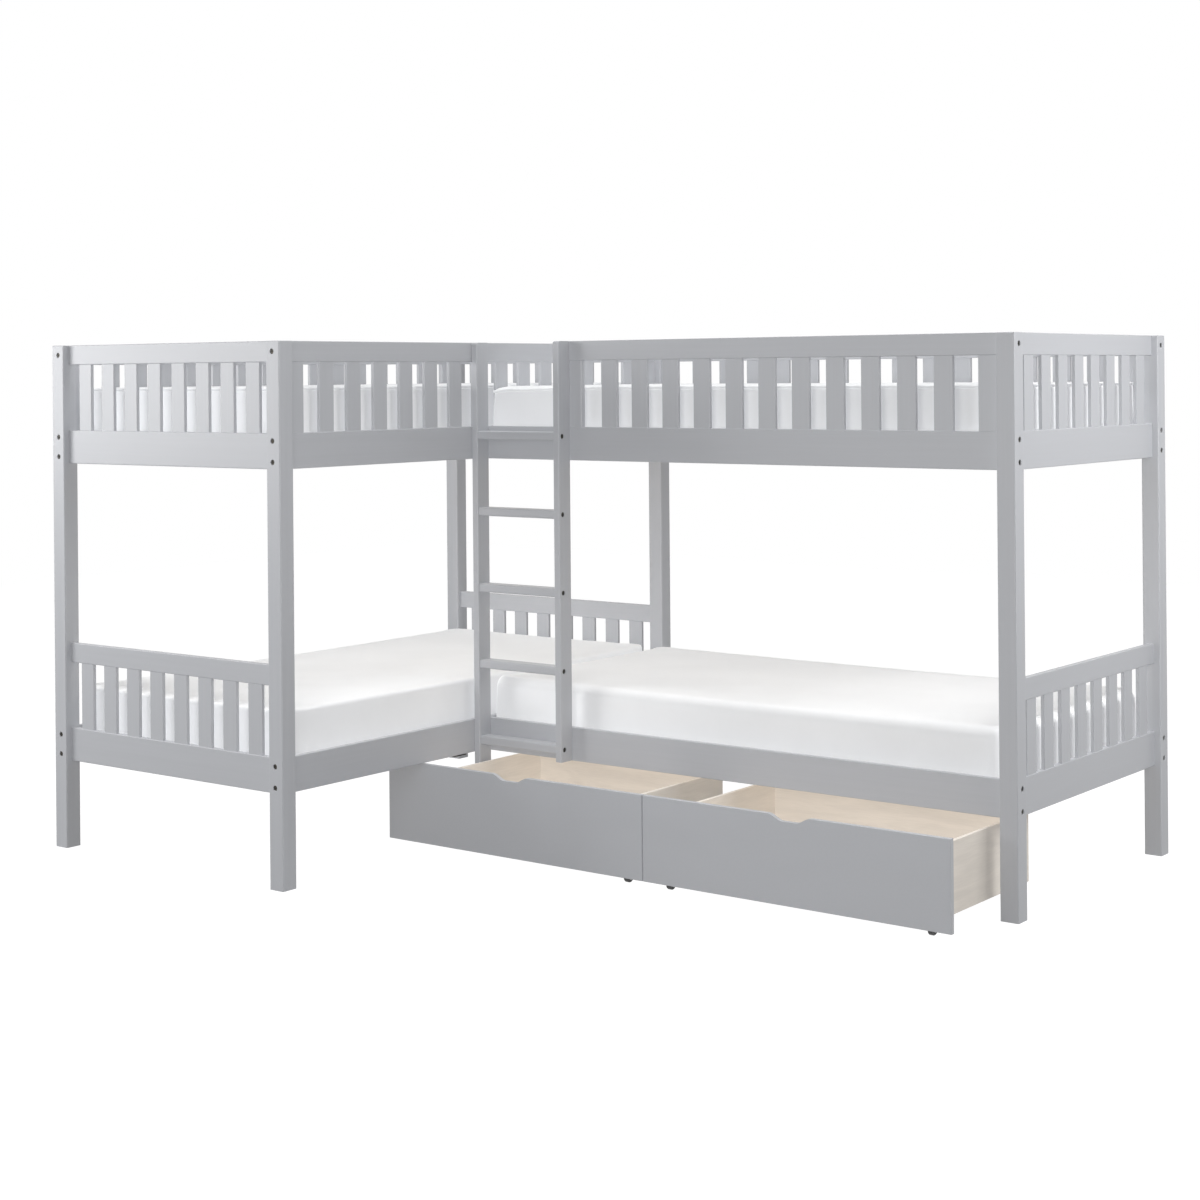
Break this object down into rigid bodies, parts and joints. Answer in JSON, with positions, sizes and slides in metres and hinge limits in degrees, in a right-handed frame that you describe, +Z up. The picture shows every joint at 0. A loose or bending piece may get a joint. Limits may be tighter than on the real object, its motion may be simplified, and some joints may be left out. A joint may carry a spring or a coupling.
{
  "type": "L-shaped bunk bed",
  "caption": "Two bunk beds joined in an L with slatted ends and guards, corner ladder, mattresses and rolling drawers beneath.",
  "frame": {"origin": "on the floor, at the middle of the rectangle that the whole bed covers", "axes": "+X along the long bed to the right, +Y to the wall behind it, +Z up; the drawers open towards -Y"},
  "size_m": [3.01, 2.007, 1.651],
  "materials": {
    "paint": "painted pale grey over wood, semi-gloss",
    "bare_wood": "clear-coated pale plywood",
    "mattress": "white quilted cover, matt",
    "bolts": "black oxide",
    "castor_steel": "zinc plated",
    "wheel": "black nylon"
  },
  "bodies": {
    "frame": {"post_a_front_left": "paint", "post_a_front_right": "paint", "post_a_back_left": "paint", "post_a_back_right": "paint", "post_b_front_right": "paint", "post_b_back_right": "paint", "end_a_front_upper_top_rail": "paint", "end_a_front_upper_rail": "paint", "end_a_front_lower_top_rail": "paint", "end_a_front_lower_rail": "paint", "end_a_front_slats": "paint", "end_a_back_upper_top_rail": "paint", "end_a_back_upper_rail": "paint", "end_a_back_lower_top_rail": "paint", "end_a_back_lower_rail": "paint", "end_a_back_slats": "paint", "end_b_upper_top_rail": "paint", "end_b_upper_rail": "paint", "end_b_lower_top_rail": "paint", "end_b_lower_rail": "paint", "end_b_slats": "paint", "guard_a_left_top_rail": "paint", "guard_a_left_slats": "paint", "side_rail_a_left_upper": "paint", "side_rail_a_left_lower": "paint", "guard_a_right_top_rail": "paint", "guard_a_right_slats": "paint", "side_rail_a_right_upper": "paint", "side_rail_a_right_lower": "paint", "guard_b_front_top_rail": "paint", "guard_b_front_slats": "paint", "side_rail_b_front_upper": "paint", "side_rail_b_front_lower": "paint", "guard_b_back_top_rail": "paint", "guard_b_back_slats": "paint", "side_rail_b_back_upper": "paint", "side_rail_b_back_lower": "paint", "ladder_left_stile": "paint", "ladder_right_stile": "paint", "ladder_rungs": "paint", "deck_slats": "bare_wood", "deck_cleats": "bare_wood", "bolts_and_brackets": "bolts", "mattress_a_upper": "mattress", "mattress_a_lower": "mattress", "mattress_b_upper": "mattress", "mattress_b_lower": "mattress"},
    "drawer_left": {"drawer_left_front": "paint", "drawer_left_walls": "bare_wood", "drawer_left_bottom": "bare_wood", "drawer_left_castors": "castor_steel"},
    "drawer_right": {"drawer_right_front": "paint", "drawer_right_walls": "bare_wood", "drawer_right_bottom": "bare_wood", "drawer_right_castors": "castor_steel"},
    "left_inner_wheel": {"drawer_left_inner_wheel": "wheel"},
    "left_outer_wheel": {"drawer_left_outer_wheel": "wheel"},
    "left_rear_wheels": {"drawer_left_rear_wheels": "wheel"},
    "right_front_wheels": {"drawer_right_front_wheels": "wheel"},
    "right_rear_wheels": {"drawer_right_rear_wheels": "wheel"}
  },
  "joints": [
    {"name": "drawer_left_slide", "type": "slide", "parent": "frame", "child": "drawer_left", "axis": [0, -1, 0], "range_m": [-0.22, 0.32]},
    {"name": "drawer_right_slide", "type": "slide", "parent": "frame", "child": "drawer_right", "axis": [0, -1, 0], "range_m": [-0.22, 0.32]},
    {"name": "left_inner_roll", "type": "hinge", "parent": "drawer_left", "child": "left_inner_wheel", "pos_m": [-0.389, -0.2585, 0.018], "axis": [1, 0, 0], "continuous": true},
    {"name": "left_outer_roll", "type": "hinge", "parent": "drawer_left", "child": "left_outer_wheel", "pos_m": [0.329, -0.302, 0.018], "axis": [1, 0, 0], "continuous": true},
    {"name": "left_rear_roll", "type": "hinge", "parent": "drawer_left", "child": "left_rear_wheels", "pos_m": [-0.044, 0.1665, 0.018], "axis": [1, 0, 0], "continuous": true},
    {"name": "right_front_roll", "type": "hinge", "parent": "drawer_right", "child": "right_front_wheels", "pos_m": [0.926, -0.302, 0.018], "axis": [1, 0, 0], "continuous": true},
    {"name": "right_rear_roll", "type": "hinge", "parent": "drawer_right", "child": "right_rear_wheels", "pos_m": [0.969, 0.1665, 0.018], "axis": [1, 0, 0], "continuous": true}
  ],
  "couplings": [
    {"joint": "left_inner_roll", "follows": "drawer_left_slide", "rad_per_m": 55.556},
    {"joint": "left_outer_roll", "follows": "drawer_left_slide", "rad_per_m": 55.556},
    {"joint": "left_rear_roll", "follows": "drawer_left_slide", "rad_per_m": 55.556},
    {"joint": "right_front_roll", "follows": "drawer_right_slide", "rad_per_m": 55.556},
    {"joint": "right_rear_roll", "follows": "drawer_right_slide", "rad_per_m": 55.556}
  ]
}
